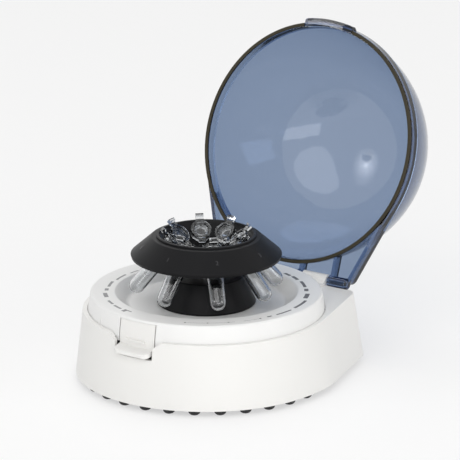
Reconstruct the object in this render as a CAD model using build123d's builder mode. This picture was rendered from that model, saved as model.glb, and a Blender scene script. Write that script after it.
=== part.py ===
from build123d import *
import os
from math import asin, atan2, cos, degrees, radians, sin, tan

# A small bench centrifuge for eight 2 ml tubes, with its domed lid swung open.
# The origin is on the rotor's axis at the bench. +Z is up, the latch is at the front (-Y) and the hinge
# at the back.
# All sizes are in millimetres. A plan size is measured from the cover's skirt and a height from the ledge,
# so that the pieces keep together when the machine is made wider or taller.

# Housing
FOOT_HEIGHT = 4.0
SKIRT_RADIUS = 73.8
LEDGE_HEIGHT = 44.6
LEDGE_WIDTH = 3.2
DRAFT_REACH = 4.6
WALL = 2.2
DECK = 2.4
REAR_SET = 1.0
SIDE_START_ANGLE = 80.0
SIDE_TANGENT_ANGLE = 105.0
SIDE_FLARE = 2.1
REAR_CORNER_LOW = 3.5
REAR_CORNER_TOP = 8.0
LEDGE_ROUND = 0.5

# Latch notch in the front of the housing
NOTCH_SIDE_CLEARANCE = 1.7
NOTCH_LOW_CLEARANCE = 1.0
NOTCH_LOW_DEPTH = 4.0
NOTCH_FLOOR_CLEARANCE = 1.2

# Top cover: a raised ring round a shallow bowl
COVER_CLEARANCE = 0.3
SKIRT_DEPTH = 5.0
RING_LEAN = 1.7
RING_RISE = 10.9
RING_ROUND = 1.6
RING_WIDTH = 15.1
BOWL_LEAN = 8.0
BOWL_DEPTH = 7.4
BOWL_ROUND = 4.0
COVER_THICKNESS = 2.2
LEG_COUNT = 4
LEG_SET = 5.0
LEG_RADIUS = 4.0
SIDE_GROOVE_ANGLE = -27.0
SIDE_GROOVE_WIDTH = 0.8
SIDE_GROOVE_HEIGHT = 5.6
SIDE_GROOVE_DEPTH = 0.7

# Base plate, feet and their screws
PLATE_CLEARANCE = 0.2
PLATE_THICKNESS = 2.4
PLATE_SCREW_RADIUS = 1.3
PLATE_SCREW_LENGTH = 12.0
PLATE_SCREW_HEAD_OVERHANG = 1.3
PLATE_SCREW_HEAD = 1.3
SCREW_CLEARANCE = 0.05
HEAD_CLEARANCE = 0.3
VENT_COUNT = 7
VENT_LENGTH = 30.0
VENT_WIDTH = 2.0
VENT_PITCH = 6.0
FOOT_RADIUS = 3.9
FOOT_FLAT_RADIUS = 1.7
FOOT_EDGE = 0.8
FOOT_INSET = 6.4
FOOT_STEP_ANGLE = 12.0
FOOT_COUNT = 16
CORNER_FOOT_SET = 18.6
REAR_FOOT_SET = 7.0
REAR_FOOT_PITCH = 26.0
REAR_FOOT_COUNT = 4

# Latch tongue, cut free from the ring's wall by two slits
TONGUE_HALF_WIDTH = 12.9
SLIT = 0.8
TONGUE_DROP = 1.6
TONGUE_ROOT_GAP = 0.15
RIDGE_HALF_WIDTH = 7.0
RIDGE_DROP = 2.05
RIDGE_THICKNESS = 1.2
RIDGE_REACH = 1.5
TAB_SET = 5.6
TAB_DROP = 1.9
TAB_THICKNESS = 2.9
TAB_LENGTH = 7.8
TAB_CORNER = 4.5

# Lid
LID_OPEN_ANGLE = 109.2
LID_GAP = 0.3
RIM_OVERHANG = 3.8
LID_WALL = 2.5
WAIST_INSET = 17.3
WAIST_HEIGHT = 51.2
WAIST_SLOPE_ANGLE = 32.0
SHOULDER_RADIUS = 55.0
CROWN_RADIUS = 153.7
SEAL_THICKNESS = 1.2
SEAL_INSET = 0.25
STRUT_TANGENT_ANGLE = 111.5
STRUT_WALL = 2.4
STRUT_CORNER = 5.0
WEB_HEIGHT = 6.6
WEB_THICKNESS = 2.2
RIB_THICKNESS = 2.4
CATCH_HALF_WIDTH = 18.0
CATCH_LOW_HALF_WIDTH = 13.2
CATCH_DEPTH = 3.7
CATCH_TOP_RISE = 3.6
CATCH_CLEARANCE = 0.3
CATCH_SLOT_MARGIN = 2.6
CATCH_SLOT_HEIGHT = 1.8
CATCH_SLOT_DEPTH = 1.1
CATCH_FOOT_REACH = 0.4
GRIP_REACH = 2.1
GRIP_BEVEL = 1.6
GRIP_GROOVE_COUNT = 15
GRIP_GROOVE_PITCH = 2.2
GRIP_GROOVE_WIDTH = 1.0
GRIP_GROOVE_DEPTH = 0.6

# Hinge
HINGE_SET = 2.8
HINGE_RISE = 2.0
KNUCKLE_RADIUS = 3.7
KNUCKLE_LENGTH = 14.0
KNUCKLE_SET = 0.05
KNUCKLE_ROUND = 1.6
KNUCKLE_GAP = 1.2
HINGE_RELIEF = 0.7
HINGE_PIN_RADIUS = 1.5
HINGE_PIN_COVER = 2.5
HINGE_FIT = 0.05
BLOCK_WIDTH = 18.3
BLOCK_RADIUS = 3.8
BLOCK_DECK_RISE = 1.7
BLOCK_SLOPE_LENGTH = 5.9
BLOCK_REACH = 22.0
BLOCK_RIM_GAP = 0.6
RIB_GAP = 2.4

# Motor and its mount, which stand up through the bowl inside the cowl
MOTOR_RADIUS = 15.5
MOTOR_CLEARANCE = 0.7
MOTOR_LENGTH = 37.5
MOTOR_CAP = 5.0
MOTOR_CAP_ROUND = 1.0
TERMINAL_THICKNESS = 0.8
TERMINAL_WIDTH = 4.0
BOSS_SET = 3.3
BOSS_RADIUS = 2.2
BOSS_COUNT = 3
BOSS_HEIGHT = 9.5
GROMMET_THICKNESS = 1.9
GROMMET_RADIUS = 2.6
MOUNT_PLATE = 1.6
MOUNT_SCREW_RADIUS = 0.9
MOUNT_SCREW_LENGTH = 9.0
MOTOR_SCREW_SET = 4.0
MOTOR_SCREW_LENGTH = 6.0
SMALL_HEAD_RADIUS = 1.7
SMALL_HEAD = 1.1
BEARING_WALL = 2.4
BEARING_WIDTH = 2.5
COWL_PLATE_GAP = 1.4
COWL_HEAD_GAP = 1.7
COWL_SPREAD = 8.6
COWL_WALL = 2.0
COWL_ROUND = 1.0
HUB_GAP = 0.9

# Spindle
SPINDLE_RADIUS = 1.6
SPINDLE_GRIP = 8.8
SHAFT_FIT = 0.05
HUB_FLANGE_RADIUS = 8.7
HUB_FLANGE_SINK = 2.5
ROTOR_SEAT_RISE = 1.3
HUB_WALL = 2.4
HUB_NECK_LENGTH = 13.4
NECK_TIP = 0.8
RING_WIRE = 0.6
RING_SEAT_RISE = 7.3

# Rotor
ROTOR_RADIUS = 47.0
ROTOR_RIM_RISE = 10.7
ROTOR_LIP = 1.7
ROTOR_LIP_SET = 0.5
SKIRT_REACH = 13.0
SKIRT_RISE = 11.42
SKIRT_THICKNESS = 2.4
DISH_SET = 5.4
DISH_LIP_WIDTH = 2.6
DISH_LIP_EDGE = 0.8
DISH_LIP_RISE = 1.4
LIP_GROOVE_RISE = 0.2
DISH_THICKNESS = 3.0
DISH_CENTRE_RADIUS = 12.0
ROTOR_HUB_WALL = 1.4
ROTOR_HUB_LENGTH = 12.0
ROTOR_BOSS_WALL = 3.55
ROTOR_FIT = 0.05
ROTOR_ROUND = 1.6
LIP_ROUND = 0.5

# Tubes
TUBE_COUNT = 8
TUBE_TILT_ANGLE = 40.25
TUBE_AXIS_SET = 6.07
TUBE_HOLE_CLEARANCE = 0.2
SPOT_FACE_CLEARANCE = 0.3
TUBE_RADIUS = 5.35
TUBE_TAPER = 0.4
TUBE_REACH = 32.4
TUBE_WALL = 0.9
COLLAR_OVERHANG = 0.95
COLLAR_THICKNESS = 1.4
TUBE_NECK_LENGTH = 1.2
TUBE_NECK_STEP = 0.25
CAP_OVERHANG = 0.2
CAP_THICKNESS = 2.4
CAP_RIM = 1.6
CAP_RECESS = 0.9
PLUG_DEPTH = 3.0
PLUG_FIT = 0.05
CAP_TAB_WIDTH = 5.0
CAP_TAB_LENGTH = 4.2
CAP_TAB_THICKNESS = 1.4
CAP_TAB_LIP = 1.3
STRAP_WIDTH = 4.6
STRAP_BOW = 1.5

# Rear panel and electronics
PANEL_DROP = 23.6
INLET_X = -31.0
INLET_FLANGE_OVERHANG = 1.4
INLET_FLANGE = 1.6
INLET_WALL = 1.8
INLET_BACK = 3.1
INLET_HOLE_RADIUS = 3.0
INLET_HOLE_DEPTH = 9.5
INLET_PIN_RADIUS = 1.0
INLET_PIN_SET = 0.5
SWITCH_X = 31.0
SWITCH_SIDE_WALL = 1.8
SWITCH_END_WALL = 2.8
SWITCH_DEPTH = 12.0
SWITCH_BEZEL = 1.3
SWITCH_BEZEL_THICKNESS = 1.5
ROCKER_HALF_WIDTH = 4.5
ROCKER_HALF_HEIGHT = 6.6
ROCKER_GAP = 0.6
ROCKER_SWING_ANGLE = 20.0
ROCKER_PIVOT_DEPTH = 1.9
ROCKER_DRUM_RADIUS = 2.6
ROCKER_PLATE_BACK = 0.8
ROCKER_WAIST = 2.3
ROCKER_TIP = 3.2
ROCKER_STUB_RADIUS = 1.0
ROCKER_STUB_REACH = 1.3
PANEL_CLEARANCE = 0.1
BOARD_WIDTH = 40.0
BOARD_DEPTH = 24.0
BOARD_THICKNESS = 1.6
BOARD_SET = 24.6
BOARD_RISE = 8.6
BOARD_HOLE_INSET = 3.0
STANDOFF_RADIUS = 2.4
BOARD_SCREW_RADIUS = 0.9
BOARD_SCREW_LENGTH = 6.0
CONNECTOR_SPREAD = 9.0
CONNECTOR_WIDTH = 6.0
CONNECTOR_LENGTH = 10.0
CONNECTOR_HEIGHT = 7.0

# Lid switch under the left strut
SENSOR_SET = 10.6
PIP_RADIUS = 1.2
PIP_DEPTH = 0.7
SENSOR_HOLE_CLEARANCE = 0.5
SENSOR_GAP = 0.3
SENSOR_WALL = 0.9
SENSOR_END_WALL = 1.9
SENSOR_SHIFT = 0.3
SENSOR_HEIGHT = 8.0
PLUNGER_RADIUS = 1.2
PLUNGER_FLANGE_RADIUS = 1.8
PLUNGER_FLANGE = 0.8
PLUNGER_TRAVEL = 1.0
SENSOR_ROOF = 1.5
SENSOR_CLEARANCE = 0.3

# Values worked out from the sizes above: the plan
LEDGE_RADIUS = SKIRT_RADIUS + LEDGE_WIDTH
BASE_RADIUS = LEDGE_RADIUS + DRAFT_REACH
REAR_FACE = BASE_RADIUS - REAR_SET
OPENING_RADIUS = SKIRT_RADIUS + COVER_CLEARANCE
RING_RADIUS = SKIRT_RADIUS - RING_LEAN
BOWL_RADIUS = RING_RADIUS - RING_WIDTH
BOWL_FLOOR_RADIUS = BOWL_RADIUS - BOWL_LEAN
LEG_CENTRES_RADIUS = BOWL_RADIUS + LEG_SET
FOOT_CENTRES_RADIUS = BASE_RADIUS - FOOT_INSET
CORNER_FOOT_Y = REAR_FACE - CORNER_FOOT_SET
RIM_RADIUS = SKIRT_RADIUS + RIM_OVERHANG
WAIST_RADIUS = RIM_RADIUS - WAIST_INSET
RIDGE_RADIUS = SKIRT_RADIUS + RIDGE_REACH
TAB_REACH = SKIRT_RADIUS + TAB_LENGTH
CATCH_INNER_RADIUS = RIDGE_RADIUS + CATCH_CLEARANCE
CATCH_SLOT_HALF_WIDTH = RIDGE_HALF_WIDTH + CATCH_SLOT_MARGIN
NOTCH_TOP_HALF_WIDTH = CATCH_HALF_WIDTH + NOTCH_SIDE_CLEARANCE
NOTCH_LOW_HALF_WIDTH = max(CATCH_LOW_HALF_WIDTH, TONGUE_HALF_WIDTH + COVER_CLEARANCE) + NOTCH_LOW_CLEARANCE
HINGE_Y = REAR_FACE + HINGE_SET
BOARD_Y = REAR_FACE - BOARD_SET
SENSOR_Y = REAR_FACE - SENSOR_SET

# Where the struts meet the hinge line and the switch's line
STRUT_ANGLE = radians(STRUT_TANGENT_ANGLE)


def strut_x(y):
    """Distance from the middle to a strut's outer face, at this distance behind the axis."""
    return (RIM_RADIUS + y * cos(STRUT_ANGLE)) / sin(STRUT_ANGLE)


KNUCKLE_END = strut_x(HINGE_Y) - KNUCKLE_SET
KNUCKLE_START = KNUCKLE_END - KNUCKLE_LENGTH
BLOCK_OUTER = KNUCKLE_START - KNUCKLE_GAP
BLOCK_INNER = BLOCK_OUTER - BLOCK_WIDTH
RIB_OUTER = KNUCKLE_START
RIB_INNER = BLOCK_INNER - RIB_GAP - RIB_THICKNESS
HINGE_PIN_END = KNUCKLE_END - HINGE_PIN_COVER
SENSOR_X = STRUT_WALL / 2 - strut_x(SENSOR_Y)
SENSOR_HOLE = PLUNGER_RADIUS + SENSOR_HOLE_CLEARANCE

# The heights
PLATE_TOP = FOOT_HEIGHT + PLATE_THICKNESS
DECK_UNDERSIDE = LEDGE_HEIGHT - DECK
SKIRT_BOTTOM = LEDGE_HEIGHT - SKIRT_DEPTH
RING_HEIGHT = LEDGE_HEIGHT + RING_RISE
RING_UNDERSIDE = RING_HEIGHT - COVER_THICKNESS
BOWL_FLOOR_HEIGHT = RING_HEIGHT - BOWL_DEPTH
TONGUE_TOP = RING_HEIGHT - TONGUE_DROP
RIDGE_HEIGHT = LEDGE_HEIGHT - RIDGE_DROP
TAB_TOP = LEDGE_HEIGHT - TAB_SET
CATCH_BOTTOM = LEDGE_HEIGHT - CATCH_DEPTH
NOTCH_LOW_HEIGHT = LEDGE_HEIGHT - NOTCH_LOW_DEPTH
NOTCH_FLOOR = TAB_TOP - TAB_THICKNESS - TAB_DROP - NOTCH_FLOOR_CLEARANCE
HINGE_Z = LEDGE_HEIGHT + HINGE_RISE
RIM_Z = LEDGE_HEIGHT + LID_GAP
LID_EDGE_Z = RIM_Z + SEAL_THICKNESS
PIP_BOTTOM = LEDGE_HEIGHT - PIP_DEPTH
PLUNGER_TOP = PIP_BOTTOM - SENSOR_GAP
PANEL_HEIGHT = LEDGE_HEIGHT - PANEL_DROP
BOARD_HEIGHT = PLATE_TOP + BOARD_RISE

# The motor and the hub, upwards from the bowl
BEARING_RADIUS = SPINDLE_RADIUS + BEARING_WALL
BOSS_CENTRES_RADIUS = MOTOR_RADIUS + BOSS_SET
MOTOR_SCREW_CENTRES_RADIUS = MOTOR_RADIUS - MOTOR_SCREW_SET
MOUNT_PLATE_RADIUS = BOSS_CENTRES_RADIUS + GROMMET_RADIUS
MOTOR_HOLE = MOTOR_RADIUS + MOTOR_CLEARANCE
BOSS_TOP = BOWL_FLOOR_HEIGHT + BOSS_HEIGHT
MOTOR_TOP = BOSS_TOP + GROMMET_THICKNESS
MOUNT_PLATE_TOP = MOTOR_TOP + MOUNT_PLATE
MOTOR_BOTTOM = MOTOR_TOP - MOTOR_LENGTH
COWL_TOP_RADIUS = MOUNT_PLATE_RADIUS + COWL_PLATE_GAP
COWL_FOOT_RADIUS = COWL_TOP_RADIUS + COWL_SPREAD
COWL_TOP = MOUNT_PLATE_TOP + SMALL_HEAD + COWL_HEAD_GAP + COWL_WALL
COWL_OPENING = HUB_FLANGE_RADIUS + HUB_GAP
HUB_FLANGE_BOTTOM = COWL_TOP - HUB_FLANGE_SINK
ROTOR_SEAT = COWL_TOP + ROTOR_SEAT_RISE
NECK_RADIUS = SPINDLE_RADIUS + HUB_WALL
NECK_TOP = ROTOR_SEAT + HUB_NECK_LENGTH
SPINDLE_TOP = ROTOR_SEAT + SPINDLE_GRIP
RING_SEAT_HEIGHT = ROTOR_SEAT + RING_SEAT_RISE

# The rotor and its tubes
TILT = radians(TUBE_TILT_ANGLE)
ROTOR_RIM_BOTTOM = ROTOR_SEAT + ROTOR_RIM_RISE
SKIRT_TOP_RADIUS = ROTOR_RADIUS - SKIRT_REACH
SKIRT_TOP = ROTOR_RIM_BOTTOM + ROTOR_LIP + SKIRT_RISE
DISH_RIM_RADIUS = SKIRT_TOP_RADIUS - DISH_SET
DISH_RIM_HEIGHT = SKIRT_TOP
TUBE_AXIS_RADIUS = DISH_RIM_RADIUS - TUBE_AXIS_SET
ROTOR_HUB_TOP = ROTOR_SEAT + ROTOR_HUB_LENGTH
ROTOR_BOSS_RADIUS = NECK_RADIUS + ROTOR_FIT + ROTOR_BOSS_WALL
ROTOR_HUB_RADIUS = ROTOR_BOSS_RADIUS + ROTOR_HUB_WALL
DISH_HEIGHT = DISH_RIM_HEIGHT - (DISH_RIM_RADIUS - TUBE_AXIS_RADIUS) * tan(TILT)
TUBE_END_RADIUS = TUBE_RADIUS - TUBE_TAPER
COLLAR_RADIUS = TUBE_RADIUS + COLLAR_OVERHANG
TUBE_NECK_RADIUS = TUBE_RADIUS + TUBE_NECK_STEP
NECK_HEIGHT = COLLAR_THICKNESS + TUBE_NECK_LENGTH
CAP_RADIUS = COLLAR_RADIUS + CAP_OVERHANG
CAP_TOP = NECK_HEIGHT + CAP_THICKNESS
CAP_RECESS_RADIUS = CAP_RADIUS - CAP_RIM
CAP_TAB_REACH = CAP_RADIUS + CAP_TAB_LENGTH
STRAP_REACH = CAP_RADIUS + STRAP_BOW

# The back panel and the lid switch
INLET_BARREL_RADIUS = INLET_HOLE_RADIUS + INLET_WALL
INLET_FLANGE_RADIUS = INLET_BARREL_RADIUS + INLET_FLANGE_OVERHANG
INLET_DEPTH = INLET_HOLE_DEPTH - INLET_FLANGE + INLET_BACK
INLET_PIN_LENGTH = INLET_HOLE_DEPTH - INLET_PIN_SET
SWITCH_HALF_WIDTH = ROCKER_HALF_WIDTH + SWITCH_SIDE_WALL
SWITCH_HALF_HEIGHT = ROCKER_HALF_HEIGHT + SWITCH_END_WALL
ROCKER_STUB_END = ROCKER_HALF_WIDTH + ROCKER_STUB_REACH
BEZEL_FACE = REAR_FACE + SWITCH_BEZEL_THICKNESS
ROCKER_Y = BEZEL_FACE - ROCKER_PIVOT_DEPTH
PLATE_SCREW_HEAD_RADIUS = PLATE_SCREW_RADIUS + PLATE_SCREW_HEAD_OVERHANG
SENSOR_WIDTH = 2 * (PLUNGER_FLANGE_RADIUS + SENSOR_CLEARANCE + SENSOR_WALL)
SENSOR_LENGTH = 2 * (PLUNGER_FLANGE_RADIUS + SENSOR_CLEARANCE + SENSOR_END_WALL)
HINGE_GROOVE = max(KNUCKLE_RADIUS, BLOCK_RADIUS) + HINGE_RELIEF
WALL_LEAN = RING_LEAN / RING_RISE

os.makedirs("parts", exist_ok=True)


def save(piece, name):
    """Label one finished piece and write it under its node's name."""
    piece.label = name
    export_step(piece, f"parts/{name}.step")


def opened(piece):
    """The piece drawn on the closed lid, swung about the hinge to where the open lid rests."""
    return piece.rotate(Axis((0, HINGE_Y, HINGE_Z), (1, 0, 0)), -LID_OPEN_ANGLE)


def around(radius, angle):
    """A point of the plan at this radius, with the angle in degrees from the front towards +X."""
    return radius * sin(radians(angle)), -radius * cos(radians(angle))


def facing(radius, angle):
    """An upright plane that faces outward at this radius and angle, with its local y along +Z."""
    point = around(radius, angle)
    turn = radians(angle)
    out_way = (cos(turn), sin(turn), 0)
    return Plane(origin=(point[0], point[1], 0), x_dir=out_way, z_dir=(sin(turn), -cos(turn), 0))


def plan_outline(radius, rear, corner, tangent_angle):
    """A circle with two straight sides that leave it as tangents and run back to a flat rear edge."""
    touch = around(radius, tangent_angle)
    run = (rear - touch[1]) / sin(radians(tangent_angle))
    corner_x = touch[0] + run * cos(radians(tangent_angle))
    with BuildSketch() as outline:
        with BuildLine():
            ThreePointArc((-touch[0], touch[1]), (0, -radius), touch)
            Polyline(touch, (corner_x, rear), (-corner_x, rear), (-touch[0], touch[1]))
        make_face()
        if corner > 0:
            fillet(outline.vertices().group_by(Axis.Y)[-1], radius=corner)
    return outline.sketch


def housing_section(height, inset):
    """The housing's plan at a height, drawn in by an inset; its sides swell out towards the base."""
    share = (LEDGE_HEIGHT - height) / (LEDGE_HEIGHT - FOOT_HEIGHT)
    radius = LEDGE_RADIUS + DRAFT_REACH * share - inset
    rear = REAR_FACE - inset
    corner = REAR_CORNER_TOP - (REAR_CORNER_TOP - REAR_CORNER_LOW) * share - inset
    leave = around(radius, SIDE_START_ANGLE)
    join = around(radius + SIDE_FLARE * share, SIDE_TANGENT_ANGLE)
    leave_way = around(1, SIDE_START_ANGLE + 90)
    join_way = around(1, SIDE_TANGENT_ANGLE + 90)
    corner_x = join[0] + (rear - join[1]) * join_way[0] / join_way[1]
    with BuildSketch() as outline:
        with BuildLine():
            ThreePointArc((-leave[0], leave[1]), (0, -radius), leave)
            Spline(leave, join, tangents=[leave_way, join_way])
            Polyline(join, (corner_x, rear), (-corner_x, rear), (-join[0], join[1]))
            left_ways = [(join_way[0], -join_way[1]), (leave_way[0], -leave_way[1])]
            Spline((-join[0], join[1]), (-leave[0], leave[1]), tangents=left_ways)
        make_face()
        fillet(outline.vertices().group_by(Axis.Y)[-1], radius=corner)
    return outline.sketch


def rounded(profile, point, radius):
    """Round the corner of the profile nearest to a point."""
    fillet(profile.vertices().sort_by_distance(Vector(*point))[0], radius=radius)


def dome_profile(skin):
    """The closed lid's half profile inside a surface set in by a skin: side, shoulder and crown arcs."""
    slope = radians(WAIST_SLOPE_ANGLE)
    normal = Vector(cos(slope), sin(slope))
    waist = Vector(WAIST_RADIUS, RIM_Z + WAIST_HEIGHT)
    rise = waist - Vector(RIM_RADIUS, RIM_Z)
    side_radius = rise.dot(rise) / (2 * rise.dot(normal))
    side_centre = waist - normal * side_radius
    shoulder_centre = waist - normal * SHOULDER_RADIUS
    crown_reach = ((CROWN_RADIUS - SHOULDER_RADIUS) ** 2 - shoulder_centre.X**2) ** 0.5
    crown_centre = Vector(0, shoulder_centre.Y - crown_reach)
    top = crown_centre.Y + CROWN_RADIUS
    joint_angle = degrees(atan2(crown_reach, shoulder_centre.X))
    edge_angle = degrees(asin((LID_EDGE_Z - side_centre.Y) / (side_radius - skin)))
    arcs = (
        (side_centre, side_radius - skin, edge_angle, WAIST_SLOPE_ANGLE),
        (shoulder_centre, SHOULDER_RADIUS - skin, WAIST_SLOPE_ANGLE, joint_angle),
        (crown_centre, CROWN_RADIUS - skin, joint_angle, 90.0),
    )
    with BuildSketch(Plane.XZ) as profile:
        with BuildLine():
            for centre, radius, low, high in arcs:
                CenterArc((centre.X, centre.Y), radius, low, high - low)
            edge_radius = side_centre.X + (side_radius - skin) * cos(radians(edge_angle))
            Polyline((0, top - skin), (0, LID_EDGE_Z), (edge_radius, LID_EDGE_Z))
        make_face()
    return profile.sketch


# Base housing: a drafted shell with an open bottom, a deck for the top cover and two hinge blocks at the back
outer_sections = [(height, housing_section(height, 0)) for height in (FOOT_HEIGHT, LEDGE_HEIGHT)]
inner_sections = [(height, housing_section(height, WALL)) for height in (FOOT_HEIGHT, DECK_UNDERSIDE)]
with BuildPart() as base_housing:
    for height, section in outer_sections:
        with BuildSketch(Plane.XY.offset(height)):
            add(section)
    loft(ruled=True)
    fillet(base_housing.faces().sort_by(Axis.Z)[-1].edges(), radius=LEDGE_ROUND)
    for height, section in inner_sections:
        with BuildSketch(Plane.XY.offset(height)):
            add(section)
    loft(ruled=True, mode=Mode.SUBTRACT)
    with BuildSketch(Plane.XY.offset(LEDGE_HEIGHT)):
        Circle(OPENING_RADIUS)
        with Locations((SENSOR_X, SENSOR_Y)):
            Circle(SENSOR_HOLE)
    extrude(amount=-DECK, mode=Mode.SUBTRACT)
    with BuildSketch(Plane.XZ.offset(OPENING_RADIUS - 3 * WALL)):
        with BuildLine():
            Polyline(
                (NOTCH_TOP_HALF_WIDTH, LEDGE_HEIGHT),
                (NOTCH_LOW_HALF_WIDTH, NOTCH_LOW_HEIGHT),
                (NOTCH_LOW_HALF_WIDTH, NOTCH_FLOOR),
                (-NOTCH_LOW_HALF_WIDTH, NOTCH_FLOOR),
                (-NOTCH_LOW_HALF_WIDTH, NOTCH_LOW_HEIGHT),
                (-NOTCH_TOP_HALF_WIDTH, LEDGE_HEIGHT),
                close=True,
            )
        make_face()
    extrude(amount=BASE_RADIUS - OPENING_RADIUS + 4 * WALL, mode=Mode.SUBTRACT)
    with BuildSketch(Plane.YZ):
        with Locations((HINGE_Y, HINGE_Z)):
            Circle(HINGE_GROOVE)
    extrude(amount=KNUCKLE_END + 2 * HINGE_RELIEF, both=True, mode=Mode.SUBTRACT)
    with BuildSketch(Plane.XZ.offset(-REAR_FACE)):
        with Locations((INLET_X, PANEL_HEIGHT)):
            Circle(INLET_BARREL_RADIUS + PANEL_CLEARANCE)
        with Locations((SWITCH_X, PANEL_HEIGHT)):
            Rectangle(2 * (SWITCH_HALF_WIDTH + PANEL_CLEARANCE), 2 * (SWITCH_HALF_HEIGHT + PANEL_CLEARANCE))
    extrude(amount=2 * WALL, both=True, mode=Mode.SUBTRACT)
    for side in (-1, 1):
        with BuildSketch(Plane.YZ.offset(side * BLOCK_INNER)):
            with BuildLine():
                Polyline(
                    (HINGE_Y - BLOCK_REACH, LEDGE_HEIGHT - DECK / 2),
                    (REAR_FACE - WALL, LEDGE_HEIGHT - DECK / 2),
                    (HINGE_Y, HINGE_Z - BLOCK_RADIUS),
                    (HINGE_Y, HINGE_Z + BLOCK_RADIUS),
                    (HINGE_Y - BLOCK_SLOPE_LENGTH, LEDGE_HEIGHT + BLOCK_DECK_RISE),
                    (HINGE_Y - BLOCK_REACH, LEDGE_HEIGHT + BLOCK_DECK_RISE),
                    close=True,
                )
            make_face()
            with Locations((HINGE_Y, HINGE_Z)):
                Circle(BLOCK_RADIUS)
        extrude(amount=side * (BLOCK_OUTER - BLOCK_INNER))
    with BuildSketch(Plane.XY.offset(LEDGE_HEIGHT)):
        Circle(RIM_RADIUS + BLOCK_RIM_GAP)
    extrude(amount=BLOCK_RADIUS * 2, mode=Mode.SUBTRACT)
    with BuildSketch(Plane.XY.offset(LEDGE_HEIGHT)):
        Circle(OPENING_RADIUS)
    extrude(amount=-DECK, mode=Mode.SUBTRACT)
    with BuildSketch(Plane.YZ):
        with Locations((HINGE_Y, HINGE_Z)):
            Circle(HINGE_PIN_RADIUS + HINGE_FIT)
    extrude(amount=BLOCK_OUTER, both=True, mode=Mode.SUBTRACT)
save(base_housing.part, "base_housing")

# Top cover: one moulding with the ring, the bowl, the motor's bosses and the screw legs
with BuildPart() as top_cover:
    with BuildSketch(Plane.XZ) as cover_profile:
        with BuildLine():
            Polyline(
                (SKIRT_RADIUS, SKIRT_BOTTOM),
                (SKIRT_RADIUS, LEDGE_HEIGHT),
                (RING_RADIUS, RING_HEIGHT),
                (BOWL_RADIUS, RING_HEIGHT),
                (BOWL_FLOOR_RADIUS, BOWL_FLOOR_HEIGHT),
                (MOTOR_HOLE, BOWL_FLOOR_HEIGHT),
                (MOTOR_HOLE, BOWL_FLOOR_HEIGHT - COVER_THICKNESS),
                (BOWL_FLOOR_RADIUS + COVER_THICKNESS / 2, BOWL_FLOOR_HEIGHT - COVER_THICKNESS),
                (BOWL_RADIUS + COVER_THICKNESS / 2, RING_UNDERSIDE),
                (RING_RADIUS - COVER_THICKNESS, RING_UNDERSIDE),
                (SKIRT_RADIUS - COVER_THICKNESS, LEDGE_HEIGHT),
                (SKIRT_RADIUS - COVER_THICKNESS, SKIRT_BOTTOM),
                close=True,
            )
        make_face()
        rounded(cover_profile, (RING_RADIUS, RING_HEIGHT), RING_ROUND)
        rounded(cover_profile, (BOWL_RADIUS, RING_HEIGHT), RING_ROUND)
        rounded(cover_profile, (BOWL_FLOOR_RADIUS, BOWL_FLOOR_HEIGHT), BOWL_ROUND)
    revolve(axis=Axis.Z)
    with BuildSketch(Plane.XY.offset(PLATE_TOP)):
        with PolarLocations(LEG_CENTRES_RADIUS, LEG_COUNT, start_angle=180 / LEG_COUNT):
            Circle(LEG_RADIUS)
    extrude(amount=RING_UNDERSIDE - PLATE_TOP + COVER_THICKNESS / 2)
    with BuildSketch(Plane.XY.offset(PLATE_TOP)):
        with PolarLocations(LEG_CENTRES_RADIUS, LEG_COUNT, start_angle=180 / LEG_COUNT):
            Circle(PLATE_SCREW_RADIUS + SCREW_CLEARANCE)
    extrude(amount=PLATE_SCREW_LENGTH, mode=Mode.SUBTRACT)
    with BuildSketch(Plane.XY.offset(BOWL_FLOOR_HEIGHT)):
        with PolarLocations(BOSS_CENTRES_RADIUS, BOSS_COUNT):
            Circle(BOSS_RADIUS)
    extrude(amount=BOSS_TOP - BOWL_FLOOR_HEIGHT)
    with BuildSketch(Plane.XY.offset(BOSS_TOP)):
        with PolarLocations(BOSS_CENTRES_RADIUS, BOSS_COUNT):
            Circle(MOUNT_SCREW_RADIUS + SCREW_CLEARANCE)
    extrude(amount=-(MOUNT_SCREW_LENGTH - GROMMET_THICKNESS - MOUNT_PLATE), mode=Mode.SUBTRACT)
    with BuildSketch(Plane.XZ.offset(RING_RADIUS - 2 * COVER_THICKNESS)):
        with Locations((0, (SKIRT_BOTTOM + TONGUE_TOP + TONGUE_ROOT_GAP) / 2)):
            Rectangle(2 * (TONGUE_HALF_WIDTH + SLIT), TONGUE_TOP + TONGUE_ROOT_GAP - SKIRT_BOTTOM)
    extrude(amount=4 * COVER_THICKNESS, mode=Mode.SUBTRACT)
    with BuildSketch(facing(SKIRT_RADIUS - SIDE_GROOVE_DEPTH, SIDE_GROOVE_ANGLE)):
        with Locations((0, LEDGE_HEIGHT + SIDE_GROOVE_HEIGHT / 2)):
            Rectangle(SIDE_GROOVE_WIDTH, SIDE_GROOVE_HEIGHT)
    extrude(amount=COVER_THICKNESS, mode=Mode.SUBTRACT)
save(top_cover.part, "top_cover")

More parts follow.
